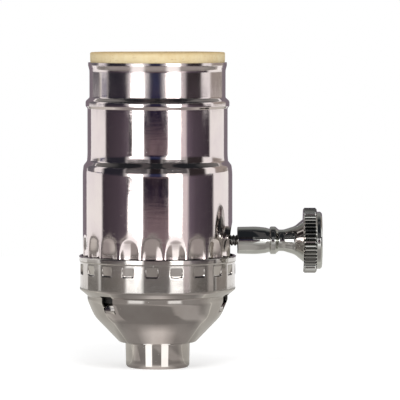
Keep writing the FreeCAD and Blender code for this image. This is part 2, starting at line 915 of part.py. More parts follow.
def ring_contact():
    low = body_deck + seat_gap + contact_thickness
    high = low + ring_contact_rise
    reach = math.hypot(ring_contact_radius - low_x, contact_rivet_y)
    corners = [
        (-contact_tail, low, 0),
        (contact_tail + ring_contact_run, low, contact_bend),
        (reach - ring_contact_top, high, contact_bend),
        (reach, high, contact_bend),
        (reach + ring_contact_lip, high - ring_contact_lip, 0),
    ]
    angle = aim((low_x, ring_contact_radius), (contact_rivet_y, 0))
    return deck_strip(corners, ring_contact_width, low_x, angle)


def rivet(x, y, low, high, closed_top):
    """Rivet with its shank from low to high, and a head below it or at both ends."""
    body = post(rivet_radius, low, high, x, y)
    body = body.fuse(post(rivet_head_radius, low - rivet_head, low, x, y))
    if closed_top:
        body = body.fuse(post(rivet_head_radius, high, high + rivet_head, x, y))
    return body


def contact_rivets():
    low = chamber_ceiling - spring_thickness - 2 * seat_gap
    high = body_deck + contact_thickness + 2 * seat_gap
    return Part.makeCompound([rivet(x, contact_rivet_y, low, high, True) for x in (low_x, high_x)])


def feed_rivet():
    low = chamber_ceiling - feed_tail - spring_thickness - 3 * seat_gap
    return rivet(feed_x, -contact_rivet_y, low, chamber_ceiling + feed_rivet_depth, False)


# Terminals
def terminal_plate_solid():
    """Flat of a terminal against its pocket's floor, at +Y, with the screw's hole."""
    near = pocket_floor + seat_gap
    half = terminal_half_width
    plate = block(-half, half, near, near + terminal_plate, terminal_foot, terminal_top)
    axis = V(0, 0, terminal_screw_height)
    return plate.cut(Part.makeCylinder(terminal_screw_radius + press_gap, body_radius, axis, BACK))


def terminal_hot():
    """Brass terminal: its tail runs up and in under the chamber's ceiling."""
    half = feed_tail_width / 2
    near = pocket_floor + seat_gap
    high = chamber_ceiling - seat_gap
    tail_in = contact_rivet_y - leaf_tail
    plate = terminal_plate_solid()
    rise = block(-half, half, near, near + terminal_plate, terminal_top - past, high)
    run = block(-half, half, tail_in, near + terminal_plate, high - feed_tail + seat_gap, high)
    tail = rise.fuse(run).translated(V(-feed_x, 0, 0))
    body = plate.fuse(tail).cut(rivet_hole(-feed_x, contact_rivet_y))
    return body.rotated(V(), UP, 180).removeSplitter()


def neutral_tail_end():
    return shell_screw_y - neutral_tail_reach


def terminal_neutral():
    """Plated terminal: its tail runs up and in over the deck, under the screw shell."""
    half = neutral_tail_width / 2
    near = pocket_floor + seat_gap
    high = body_deck - press_gap
    plate = terminal_plate_solid()
    rise = block(-half, half, near, near + terminal_plate, terminal_top - past, high)
    low = high - terminal_plate + press_gap
    run = block(-half, half, neutral_tail_end(), near + terminal_plate, low, high)
    hole = post(shell_screw_radius + press_gap, low - past, high + past, 0, shell_screw_y)
    return plate.fuse(rise).fuse(run).cut(hole).removeSplitter()


def slotted_screw(shank, shank_length, head, head_height, slot_way):
    """Screw along +Z with its head's underside at the origin and a slot across the head."""
    bevel = head_height * screw_head_bevel
    crown = Part.makeCone(head, head - bevel, bevel, V(0, 0, head_height - bevel), UP)
    body = post(shank, -shank_length, 0).fuse(post(head, 0, head_height - bevel)).fuse(crown)
    half = screw_slot_width / 2
    slot = block(-head, head, -half, half, head_height - screw_slot_depth, head_height + past)
    return body.cut(slot.rotated(V(), UP, slot_way))


def terminal_screw(side, slot_way):
    near = pocket_floor + terminal_plate + 2 * seat_gap
    shank_length = near - pocket_floor + terminal_screw_depth - press_gap
    screw = slotted_screw(
        terminal_screw_radius, shank_length, terminal_head_radius, terminal_head, slot_way
    )
    screw = screw.rotated(V(), RIGHT, -90).translated(V(0, near, terminal_screw_height))
    return screw if side > 0 else screw.rotated(V(), UP, 180)


# Screw shell for the bulb and its two screws
def screw_shell_foot():
    return body_deck + seat_gap


def screw_shell():
    foot = screw_shell_foot()
    low = foot - past
    high = foot + past
    cup = screw_cup_radius + screw_shell_sheet
    wall = screw_shell_radius + screw_shell_sheet
    outline = [
        (cup, foot, 0),
        (cup, screw_cup_head, 0),
        (wall, screw_wall_foot, 0),
        (wall, screw_shell_top, 0),
    ]
    bore = inset(outline, screw_shell_sheet)
    bore[0] = (bore[0][0], foot + screw_shell_sheet, 0)
    body = filled(outline, foot, screw_shell_top).cut(filled(bore, bore[0][1], screw_shell_top + past))
    ears = block(-ear_half_width, ear_half_width, -wall, wall, low, high).cut(post(ear_radius, low, high))
    body = body.cut(post(screw_shell_floor_hole, low, high).cut(ears))
    for side in (-1, 1):
        body = body.cut(post(shell_screw_radius + press_gap, low, high, 0, side * shell_screw_y))
    return body


def shell_screws():
    top = screw_shell_foot() + screw_shell_sheet + seat_gap
    screws = []
    for side, slot_way in ((-1, front_screw_slot), (1, back_screw_slot)):
        screw = slotted_screw(
            shell_screw_radius,
            top - body_deck + shell_screw_depth - press_gap,
            shell_screw_head_radius,
            shell_screw_head,
            slot_way,
        )
        screws.append(screw.translated(V(0, side * shell_screw_y, top)))
    return Part.makeCompound(screws)


# Knob
def knob_outline():
    return [
        (0, 0, 0),
        (0, barrel_radius, barrel_edge_rounding),
        (barrel_middle, barrel_bulge, barrel_rounding),
        (barrel_end, barrel_end_radius, barrel_end_rounding),
        (waist_left, waist_radius, 0),
        (knob_bead_left, knob_bead_radius, knob_bead_rounding),
        (knob_bead_right, knob_bead_radius, knob_bead_rounding),
        (knob_neck_left, knob_neck_radius, knob_bead_foot_rounding),
        (knob_neck_right, knob_neck_radius, knob_neck_rounding),
        (flare_middle, flare_middle_radius, flare_rounding),
        (wheel_left, flare_end_radius, 0),
        (wheel_left + wheel_bevel, knob_face_radius, 0),
        (knob_end - knob_face_bevel, knob_face_radius, 0),
        (knob_end, knob_face_radius - knob_face_bevel, 0),
        (knob_end, 0, 0),
    ]


def knurl_ring(x, crown):
    """Closed line round the wheel's teeth at x, with their lands at the radius crown."""
    pitch = 2 * math.pi / knurl_count
    land = pitch * knurl_land / 2
    root = crown - knurl_depth
    points = []
    for i in range(knurl_count):
        for angle, radius in ((-land, crown), (land, crown), (pitch / 2, root)):
            turn = i * pitch + angle
            points.append(V(x, radius * math.cos(turn), spindle_height + radius * math.sin(turn)))
    return Part.makePolygon(points + [points[0]])


def knob():
    face = closed_face(path_edges(knob_outline(), along_spindle))
    body = face.revolve(V(0, 0, spindle_height), RIGHT, 360)
    rings = [
        knurl_ring(wheel_left, wheel_radius - wheel_bevel),
        knurl_ring(wheel_left + wheel_bevel, wheel_radius),
        knurl_ring(wheel_right - wheel_bevel, wheel_radius),
        knurl_ring(wheel_right, wheel_radius - wheel_bevel),
    ]
    body = body.fuse(Part.makeLoft(rings, True, True))
    body = body.cut(bar(spindle_radius + press_gap, -past, knob_bore_depth))
    return body.translated(V(knob_left, 0, 0))


def save(node, shape):
    """Write one node; a compound stays a group of solids."""
    if len(shape.Solids) == 1:
        shape = shape.Solids[0]
    if not shape.isValid():
        raise RuntimeError("broken solid: " + node)
    shape.exportStep("parts/" + node + ".step")


def main():
    os.makedirs("parts", exist_ok=True)
    nodes = {
        "outer_shell": outer_shell(),
        "paper_liner": paper_liner(),
        "cap": cap(),
        "neck_bushing": neck_bushing(),
        "set_screw": set_screw(),
        "switch_body": switch_body(),
        "switch_cover": switch_cover(),
        "cover_rivets": cover_rivets(),
        "spindle": spindle(),
        "retaining_clip": retaining_clip(),
        "rotor": rotor(),
        "rotor_contact": rotor_contact(),
        "detent_cam": detent_cam(),
        "detent_spring": detent_spring(),
        "low_leaf": low_leaf(),
        "high_leaf": high_leaf(),
        "feed_leaf": feed_leaf(),
        "centre_contact": centre_contact(),
        "ring_contact": ring_contact(),
        "contact_rivets": contact_rivets(),
        "feed_rivet": feed_rivet(),
        "terminal_hot": terminal_hot(),
        "terminal_neutral": terminal_neutral(),
        "terminal_screw_hot": terminal_screw(-1, hot_screw_slot),
        "terminal_screw_neutral": terminal_screw(1, neutral_screw_slot),
        "screw_shell": screw_shell(),
        "shell_screws": shell_screws(),
        "knob": knob(),
    }
    for node, shape in nodes.items():
        save(node, shape)
        print(node, len(shape.Solids), "solid(s)", round(shape.Volume, 1), "mm3")


main()
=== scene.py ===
# Three-way lamp socket: its visible pieces, their materials, and the stage, lamps and camera
import json
import math

import bmesh
import bpy
import numpy as np
from mathutils import Matrix, Vector


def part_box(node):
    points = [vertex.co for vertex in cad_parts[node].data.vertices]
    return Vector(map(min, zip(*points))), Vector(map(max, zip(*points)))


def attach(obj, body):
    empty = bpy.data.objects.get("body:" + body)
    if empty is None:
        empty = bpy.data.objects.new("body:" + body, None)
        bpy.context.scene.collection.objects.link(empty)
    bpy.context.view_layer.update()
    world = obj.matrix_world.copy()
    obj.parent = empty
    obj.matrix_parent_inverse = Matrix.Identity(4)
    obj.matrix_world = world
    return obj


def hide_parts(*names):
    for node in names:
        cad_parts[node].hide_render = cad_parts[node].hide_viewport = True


MM = 0.001

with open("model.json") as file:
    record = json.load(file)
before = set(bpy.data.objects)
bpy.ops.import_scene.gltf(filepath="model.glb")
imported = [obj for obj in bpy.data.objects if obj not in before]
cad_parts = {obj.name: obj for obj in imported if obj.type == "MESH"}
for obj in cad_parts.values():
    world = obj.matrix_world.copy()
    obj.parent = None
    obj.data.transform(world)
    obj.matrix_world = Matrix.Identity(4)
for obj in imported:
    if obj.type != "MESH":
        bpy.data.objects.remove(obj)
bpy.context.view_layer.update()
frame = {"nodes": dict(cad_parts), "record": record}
nodes = frame["nodes"]


def ends(node, axis):
    """Where a CAD piece begins and ends along x, y or z, in millimetres."""
    k = "xyz".index(axis)
    low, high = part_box(node)
    return round(low[k] / MM, 2), round(high[k] / MM, 2)


# Sizes that several pieces share, in millimetres and degrees
KNOB_JOINT = frame["record"]["behaviour"]["joints"][0]
AXIS_Z = round(KNOB_JOINT["pos_m"][2] / MM, 2)  # height of the spindle
SHELL_RADIUS = 18.15
RIM_RADIUS = 18.9
SNAP_COUNT = 20  # flutes in the shell, and teeth in the cap's rim
SNAP_PITCH = 360.0 / SNAP_COUNT
SNAP_PHASE = -3.5
FLUTE_FULL = 27.4  # up to here the flutes have their full depth
FLUTE_TOP = 32.2
TOOTH_WIDTH = 3.1
TOOTH_FOOT = 22.9
TOOTH_HEIGHT = 2.5
LANCES = (105.0, 225.0, 345.0)


# Outlines and meshes. Every size in these functions is in millimetres.
def ramp(value, start, end):
    """Share of the way from start to end, held between 0 and 1."""
    return np.clip((value - start) / (end - start), 0, 1)


def unit(a, b):
    length = math.hypot(b[0] - a[0], b[1] - a[1])
    return (b[0] - a[0]) / length, (b[1] - a[1]) / length


def divided(a, b, step, guard=0.12):
    """Points from a towards b, a included and b left out, with one close to each end for even shading."""
    length = math.dist(a, b)
    shares = [0.0]
    if length > 5 * guard:
        count = max(1, math.ceil((length - 2 * guard) / step))
        shares += list(np.linspace(guard, length - guard, count + 1) / length)
    return [(a[0] + (b[0] - a[0]) * k, a[1] + (b[1] - a[1]) * k) for k in shares]


def rounded(corners, step=2.0, turn=12.0):
    """Points along an outline of (radius, height, rounding) corners, arcs divided every turn degrees."""
    points = []
    last = corners[0][:2]
    for i in range(1, len(corners) - 1):
        here = corners[i][:2]
        radius = corners[i][2]
        back = unit(here, corners[i - 1])
        on = unit(here, corners[i + 1])
        half = math.acos(max(-1, min(1, back[0] * on[0] + back[1] * on[1]))) / 2
        if radius <= 0 or half > math.pi / 2 - 0.001:
            points += divided(last, here, step)
            last = here
            continue
        room = 0.49 * min(math.dist(here, corners[i - 1][:2]), math.dist(here, corners[i + 1][:2]))
        reach = min(radius / math.tan(half), room)
        radius = reach * math.tan(half)
        middle = unit((0, 0), (back[0] + on[0], back[1] + on[1]))
        hub = [here[k] + middle[k] * radius / math.sin(half) for k in (0, 1)]
        start = [here[k] + back[k] * reach for k in (0, 1)]
        end = [here[k] + on[k] * reach for k in (0, 1)]
        points += divided(last, start, step)
        a0 = math.atan2(start[1] - hub[1], start[0] - hub[0])
        a1 = math.atan2(end[1] - hub[1], end[0] - hub[0])
        sweep = (a1 - a0 + math.pi) % (2 * math.pi) - math.pi
        count = max(2, math.ceil(abs(math.degrees(sweep)) / turn))
        for k in range(count):
            a = a0 + sweep * k / count
            points.append((hub[0] + radius * math.cos(a), hub[1] + radius * math.sin(a)))
        last = end
    points += divided(last, corners[-1][:2], step)
    points.append(corners[-1][:2])
    return points


def finer(points, low, high, step):
    """The same points, with the stretch between two heights divided evenly."""
    before = [p for p in points if p[1] < low - 0.001]
    after = [p for p in points if p[1] > high + 0.001]
    heights = np.linspace(low, high, max(2, round((high - low) / step) + 1))
    radii = np.interp(heights, [p[1] for p in points], [p[0] for p in points])
    return before + list(zip(radii, heights)) + after


def linked(name, grid, corners):
    """Object from a grid of points and the four corner numbers of each face."""
    faces = np.stack(corners, -1).reshape(-1, 4)
    mesh = bpy.data.meshes.new(name)
    mesh.from_pydata((grid.reshape(-1, 3) * MM).tolist(), [], faces.tolist())
    obj = bpy.data.objects.new(name, mesh)
    bpy.context.scene.collection.objects.link(obj)
    return obj


def point_numbers(grid):
    return np.arange(grid.shape[0] * grid.shape[1]).reshape(grid.shape[:2])


def wrap(name, grid, closed=False):
    """Mesh from rows of points that run round an axis; closed joins the last row to the first."""
    index = point_numbers(grid)
    lower = index if closed else index[:-1]
    upper = np.roll(index, -1, 0) if closed else index[1:]
    return linked(name, grid, [lower, np.roll(lower, -1, 1), np.roll(upper, -1, 1), upper])


def sheet(name, grid):
    """Mesh from rows of points, open on all four sides."""
    index = point_numbers(grid)
    return linked(name, grid, [index[:-1, :-1], index[:-1, 1:], index[1:, 1:], index[1:, :-1]])


def ring(radius, height, angles):
    """Points at a radius and height for each angle, in degrees."""
    a = np.radians(angles)
    radius = np.broadcast_to(radius, a.shape)
    height = np.broadcast_to(height, a.shape)
    return np.stack([radius * np.cos(a), radius * np.sin(a), height], -1)


def even(count):
    return np.arange(count) * 360.0 / count


def lathe(name, points, columns):
    angles = even(columns)
    return wrap(name, np.stack([ring(r, z, angles) for r, z in points]))


def along_x(grid):
    """Turns rows made round Z so that they run along the spindle: height becomes x."""
    return np.stack([grid[..., 2], grid[..., 0], grid[..., 1] + AXIS_Z], -1)


def bake(obj):
    """Writes the modifiers' result into the mesh."""
    evaluated = obj.evaluated_get(bpy.context.evaluated_depsgraph_get())
    mesh = bpy.data.meshes.new_from_object(evaluated)
    obj.modifiers.clear()
    obj.data = mesh


def thicken(obj, wall):
    """Gives a sheet its wall, inward from its outer face."""
    solid = obj.modifiers.new("wall", "SOLIDIFY")
    solid.thickness = wall * MM
    solid.offset = -1.0
    solid.use_even_offset = True
    bake(obj)


def subtract(obj, cutter):
    cut = obj.modifiers.new("cut", "BOOLEAN")
    cut.operation = "DIFFERENCE"
    cut.solver = "EXACT"
    cut.object = cutter
    bake(obj)
    bpy.data.objects.remove(cutter)


def join(first, *others):
    """One object from several."""
    merged = bmesh.new()
    for obj in (first, *others):
        merged.from_mesh(obj.data)
    merged.to_mesh(first.data)
    merged.free()
    for obj in others:
        bpy.data.objects.remove(obj)


def smooth(obj, angle=35.0):
    obj.data.polygons.foreach_set("use_smooth", [True] * len(obj.data.polygons))
    obj.data.set_sharp_from_angle(angle=math.radians(angle))


def face_out(obj, fill=False):
    """Turns every face outward; fill closes the open ends first."""
    shape = bmesh.new()
    shape.from_mesh(obj.data)
    if fill:
        bmesh.ops.holes_fill(shape, edges=shape.edges)
    bmesh.ops.recalc_face_normals(shape, faces=shape.faces)
    shape.to_mesh(obj.data)
    shape.free()


def turned(obj, degrees):
    obj.data.transform(Matrix.Rotation(math.radians(degrees), 4, "Z"))


# Cutters, which subtract() uses up
def placed(obj, middle):
    """Writes the place of a new cutter into its mesh."""
    obj.location = [k * MM for k in middle]
    bpy.context.view_layer.update()
    obj.data.transform(obj.matrix_world)
    obj.matrix_world.identity()
    return obj


def window_cutter(size, middle):
    bpy.ops.mesh.primitive_cube_add(size=1.0)
    obj = bpy.context.object
    obj.scale = [k * MM for k in size]
    return placed(obj, middle)


def round_cutter(radius, length, middle, sides, lean=0.0):
    """Drill that stands upright, or leans that many degrees about x."""
    bpy.ops.mesh.primitive_cylinder_add(vertices=sides, radius=radius * MM, depth=length * MM)
    obj = bpy.context.object
    obj.rotation_euler = (math.radians(lean), 0, 0)
    return placed(obj, middle)


def arched_cutter(width, low=10.0, arc_steps=32):
    """Slot on the knob's side, from a low end up to a round head on the spindle's axis."""
    near, far = 10.0, 25.0
    outline = [(-width / 2, low), (width / 2, low)]
    for i in range(arc_steps + 1):
        a = math.pi * i / arc_steps
        outline.append((width / 2 * math.cos(a), AXIS_Z + width / 2 * math.sin(a)))
    obj = wrap("slot_cutter", np.array([[(x, y, z) for y, z in outline] for x in (near, far)]))
    face_out(obj, fill=True)
    return obj


# The snap fit: flutes in the shell's skirt, and a tooth in the cap's rim over each
def off_snap(angles):
    """Degrees from each angle to the middle of the nearest flute."""
    return (angles - SNAP_PHASE + SNAP_PITCH / 2) % SNAP_PITCH - SNAP_PITCH / 2


def per_snap(side):
    """Directions at the same few degrees to both sides of each flute, and one between it and the next."""
    shares = np.concatenate([-side[::-1], [0.0], side, [SNAP_PITCH / 2]])
    return np.concatenate([SNAP_PHASE + SNAP_PITCH * i + shares for i in range(SNAP_COUNT)])


def flute_press(r, z, off):
    """How far the flutes, made by a round-nosed punch, press the shell inward; off is in radians."""
    nose = 7.0
    depth = 0.6
    climb = ramp(z, FLUTE_FULL, FLUTE_TOP)
    hub = SHELL_RADIUS - depth * (1 - climb**2) + nose
    soft_edge = 0.06 + 0.12 * climb
    cut = r - (hub * np.cos(off) - np.sqrt(nose**2 - (hub * np.sin(off)) ** 2))
    press = 0.5 * (cut + np.sqrt(cut**2 + soft_edge**2))
    return press * ramp(z, FLUTE_TOP + 0.4, FLUTE_TOP - 1.0)


def tooth_press(z, off):
    """How far the teeth press the rim inward: deepest at the round-cornered foot; off is along the rim."""
    depth = 0.45
    corner = 0.5
    flank = 0.28
    dx = np.abs(off) - (TOOTH_WIDTH / 2 - corner)
    dz = (TOOTH_FOOT + corner) - z
    inside = np.minimum(np.maximum(dx, dz), 0) + np.hypot(np.maximum(dx, 0), np.maximum(dz, 0)) - corner
    wall = ramp(-inside, 0, flank)
    wall = wall * wall * (3 - 2 * wall)
    return depth * ramp(z, TOOTH_FOOT + TOOTH_HEIGHT, TOOTH_FOOT) * wall


# The pieces that replace CAD nodes
def outer_shell():
    """Drawn shell: fluted skirt, waist, bead, top section, flared mouth, and a slot for the spindle."""
    foot, mouth = ends("outer_shell", "z")
    waist, bead, top_section, flare = 17.0, 17.45, 16.5, 16.82
    outline = rounded(
        [
            (SHELL_RADIUS, foot, 0),
            (SHELL_RADIUS, 47.0, 8.0),
            (18.1, 47.9, 5.0),
            (17.95, 49.15, 1.0),
            (17.12, 50.25, 0.6),
            (waist, 51.7, 14.0),
            (waist, 63.0, 0.3),
            (bead, 63.6, 0.4),
            (bead, 64.75, 0.8),
            (top_section, 65.6, 0.5),
            (top_section, 72.2, 2.5),
            (flare, 73.4, 0.4),
            (flare, mouth, 0),
        ],
        step=4.0,
    )
    outline = finer(outline, FLUTE_FULL - 0.6, FLUTE_TOP + 0.4, step=0.2)
    side = np.array([1.7, 3.3, 4.8, 6.0, 6.9, 7.5, 8.0, 8.5])
    angles = per_snap(side)
    off = np.radians(off_snap(angles))
    rows = [ring(r - flute_press(r, z, off), z, angles) for r, z in outline]
    obj = wrap("shell_sheet", np.stack(rows))
    thicken(obj, wall=0.38)
    subtract(obj, arched_cutter(width=9.0))
    smooth(obj)
    return obj


def cap_body():
    """Drawn cap: neck, bowl, shelf and rim with teeth, windows with tongues, and the set screw's hole."""
    foot, lip_top = ends("cap", "z")
    bore, neck, shelf, lip = 5.6, 7.85, 17.05, 19.1
    neck_top = 6.25
    outline = rounded(
        [
            (bore, foot, 0),
            (7.7, foot, 0.9),
            (neck, neck_top, 0.35),
            (9.3, neck_top, 0.8),
            (15.4, 12.55, 7.0),
            (shelf, 16.45, 2.0),
            (shelf, 17.6, 0.35),
            (RIM_RADIUS, 19.1, 0.6),
            (RIM_RADIUS, 25.9, 0.15),
            (lip, 26.1, 0.15),
            (lip, 27.15, 0.15),
            (lip - 0.2, lip_top, 0.15),
            (lip - 0.6, lip_top, 0),
        ],
        step=1.2,
        turn=9.0,
    )
    rise = np.array([-0.3, -0.1, 0, 0.07, 0.14, 0.22, 0.35, 0.5, 0.7, 1.0, 1.4, 1.8, 2.1, 2.3, 2.45, 2.6])
    heights = TOOTH_FOOT + rise
    gap = 0.2
    below = [p for p in outline if p[1] < heights[0] - gap]
    above = [p for p in outline if p[1] > heights[-1] + gap]
    outline = below + [(RIM_RADIUS, z) for z in heights] + above
    side = np.array([0.7, 1.15, 1.28, 1.37, 1.45, 1.52, 1.6, 1.9])
    angles = per_snap(np.degrees(side / RIM_RADIUS))
    off = np.radians(off_snap(angles)) * RIM_RADIUS
    rows = [ring(r - tooth_press(z, off), z, angles) for r, z in outline]
    obj = wrap("cap_sheet", np.stack(rows))
    thicken(obj, wall=0.45)
    for angle in LANCES:
        window = window_cutter(size=(3.65, 3.7, 4.2), middle=(17.075, 0, 16.0))
        turned(window, angle)
        subtract(obj, window)
    subtract(obj, round_cutter(radius=1.9, length=6.0, middle=(0, 8.5, 3.3), sides=48, lean=90.0))
    tongues = [lance_tongue(angle) for angle in LANCES]
    join(obj, *tongues)
    smooth(obj)
    return obj


def lance_tongue(angle):
    """Tongue bent inward from the window's foot, slightly dished across its width."""
    half_width = 1.6
    dish = 0.12
    outline = [
        (15.6, 13.4),
        (16.0, 13.9),
        (16.08, 14.4),
        (16.02, 15.0),
        (15.88, 15.6),
        (15.65, 16.1),
        (15.4, 16.33),
    ]
    rows = []
    for r, z in outline:
        across = np.linspace(-half_width, half_width, 9)
        rows.append([(r - dish * (1 - (y / half_width) ** 2), y, z) for y in across])
    obj = sheet("tongue", np.array(rows))
    thicken(obj, wall=0.4)
    turned(obj, angle)
    return obj


def knob_body():
    """Turned knob: barrel, bead, flared foot, knurled wheel and raised face, along the spindle."""
    inner_end, outer_end = ends("knob", "x")
    bore, bead, stem, wheel, face = 1.4, 3.35, 2.6, 7.9, 6.95
    wheel_start, wheel_end = 35.35, 38.6
    chamfer = 0.35
    outline = rounded(
        [
            (bore, inner_end, 0),
            (3.25, inner_end, 0.25),
            (3.35, 23.9, 12.0),
            (3.1, 26.2, 1.5),
            (2.8, 27.2, 0.15),
            (bead, 27.35, 0.5),
            (bead, 28.6, 0.5),
            (stem, 29.4, 0.6),
            (stem, 30.6, 2.5),
            (3.45, 33.3, 3.0),
            (5.2, wheel_start, 0.15),
            (wheel - chamfer, wheel_start, 0.1),
            (wheel, wheel_start + chamfer, 0.15),
            (wheel, wheel_end - chamfer, 0.15),
            (wheel - chamfer, wheel_end, 0.1),
            (face, wheel_end, 0.12),
            (face, 39.5, 0.2),
            (6.55, outer_end, 0.3),
            (0.02, outer_end, 0),
        ],
        step=1.0,
        turn=10.0,
    )
    teeth = 50
    groove_depth = 0.55
    crest_share = 0.15
    run_out = (7.0, 7.45)
    share = np.array([-0.4, -0.3, -0.2, -0.14, 0.0, 0.14, 0.2, 0.3, 0.4, 0.5])
    angles = np.concatenate([(i + share) * 360.0 / teeth for i in range(teeth)])
    across = np.abs((angles * teeth / 360.0 + 0.5) % 1.0 - 0.5)
    groove = ramp(across, crest_share, 0.5) * groove_depth
    rows = [ring(r - groove * ramp(r, *run_out), x, angles) for r, x in outline]
    obj = wrap("knob_turned", along_x(np.stack(rows)))
    face_out(obj)
    smooth(obj, 25.0)
    return obj


def thread_wave(along, pitch, turn):
    """Cosine along a thread; turn is the share of a full circle."""
    return np.cos(2 * np.pi * (along / pitch + turn))


def spindle():
    """Steel spindle, with its thread showing between shell and knob."""
    inner_end, outer_end = ends("spindle", "x")
    shoulder = 8.1
    thread_start, thread_end = 16.0, 20.6
    crest, root = 1.35, 1.05
    middle = (crest + root) / 2
    pitch = 0.7938  # 32 threads to the inch
    angles = even(36)
    threaded = np.arange(thread_start, thread_end, 0.06)
    rows = []
    for x in (inner_end, shoulder, thread_start - 0.1, *threaded, thread_end + 0.1, outer_end):
        radius = crest
        if thread_start <= x <= thread_end:
            radius = middle + (crest - middle) * thread_wave(x, pitch, -angles / 360.0)
        rows.append(ring(radius, x, angles))
    obj = wrap("spindle_threaded", along_x(np.stack(rows)))
    face_out(obj, fill=True)
    smooth(obj, 50.0)
    return obj


def neck_bushing():
    """Bushing with the thread for the lamp's nipple, a collar at its top and a step at its foot."""
    foot, top = ends("neck_bushing", "z")
    collar = ends("neck_bushing", "x")[1]
    collar_under = 6.73
    crest, thread_depth = 4.62, 0.42
    pitch = 0.9407  # 27 threads to the inch
    lead, lead_depth = 0.6, 0.35
    body, step, step_top = 7.22, 5.57, 0.48
    angles = even(96)
    rows = []
    for z in np.arange(foot, top, 0.09):
        fade = min(ramp(z, foot, foot + lead), ramp(z, top, top - lead))
        wave = 0.5 + 0.5 * thread_wave(z, pitch, -angles / 360.0)
        rows.append(ring(crest + thread_depth * fade * wave + lead_depth * (1 - fade), z, angles))
    outside = [
        (5.2, top),
        (collar - 0.15, top),
        (collar, top - 0.13),
        (collar, collar_under),
        (body, collar_under),
        (body, step_top),
        (step, step_top),
        (step, 0.1),
        (step - 0.12, foot),
    ]
    rows += [ring(r, z, angles) for r, z in outside]
    obj = wrap("bushing_tapped", np.stack(rows), closed=True)
    face_out(obj)
    smooth(obj, 40.0)
    return obj


def screw_shell():
    """Thin shell for the bulb: rolled thread, open mouth, and a floor with two ears under the screws."""
    floor, mouth = ends("screw_shell", "z")
    wall = 13.1
    floor_hole, ear_reach = 11.2, 9.0
    thread_start, thread_end = 46.9, 69.4
    pitch = 3.629  # 7 threads to the inch
    rib, swell, flare = 0.42, 0.03, 0.25
    angles = even(144)
    ears = np.abs(np.cos(np.radians(angles))) < 0.40
    rows = [ring(np.where(ears, ear_reach, floor_hole), floor, angles), ring(wall, floor, angles)]
    threaded = np.linspace(thread_start, thread_end + 0.3, 96)
    for z in (43.3, 44.5, 46.2, *threaded, 69.75, mouth):
        fade = min(ramp(z, thread_start, thread_start + 1.2), ramp(z, thread_end, thread_end - 1.0))
        radius = wall + swell * ramp(z, thread_start, thread_start + 0.6)
        radius = radius + rib * fade * thread_wave(z, pitch, angles / 360.0)
        rows.append(ring(radius + flare * ramp(z, thread_end, mouth), z, angles))
    obj = wrap("thread_shell", np.stack(rows))
    thicken(obj, wall=0.35)
    for side in (-1, 1):
        subtract(obj, round_cutter(radius=1.15, length=3.0, middle=(0, side * 10.8, 43.2), sides=24))
    smooth(obj, 40.0)
    return obj


def paper_liner():
    """Rolled paper tube: its outer layer ends in a slanted seam on the left of the front."""
    foot, top = ends("paper_liner", "z")
    mouth = ends("paper_liner", "x")[1]
    tube, board_wall = 16.05, 0.7
    mouth_low, mouth_start = 72.8, 74.6
    outside = [
        (tube, foot),
        (tube, 30.0),
        (tube, 50.0),
        (tube, mouth_low),
        (mouth, mouth_start),
        (mouth, 75.4),
        (mouth, 76.2),
        (16.31, 76.45),
        (16.13, 76.58),
    ]
    inside = [
        (15.9, top),
        (15.75, 76.55),
        (mouth - board_wall, 76.35),
        (mouth - board_wall, mouth_start),
        (tube - board_wall, mouth_low),
        (tube - board_wall, 50.0),
        (tube - board_wall, 30.0),
        (tube - board_wall, foot),
    ]
    seam_start, seam_slant = -128.5, 1.6
    seam_step, seam_taper, seam_edge = 0.1, 40.0, 0.8
    inset = 0.03
    angles = even(360)
    around = np.radians(angles)
    ripple = 0.03 * np.sin(around * 3 + math.radians(40)) + 0.015 * np.sin(around * 7)
    dips = np.minimum(0.05 * np.sin(around * 2 + math.radians(70)), 0)
    rows = []
    for wall, share in ((outside, 1.0), (inside, 0.3)):
        for r, z in wall:
            seam = seam_start + (z - mouth_start) * seam_slant
            past_seam = (angles - seam) % 360.0
            layer = seam_step * ramp(past_seam, seam_taper, 0) * ramp(past_seam, 0, seam_edge)
            radius = r - share * layer - inset + (ripple if z > 72 else 0)
            rows.append(ring(radius, z + (dips if z > 75 else 0), angles))
    obj = wrap("liner_rolled", np.stack(rows), closed=True)
    face_out(obj)
    subtract(obj, arched_cutter(width=9.4))
    smooth(obj, 40.0)
    return obj


# Materials
def rgb(r, g, b):
    return (r, g, b, 1.0)


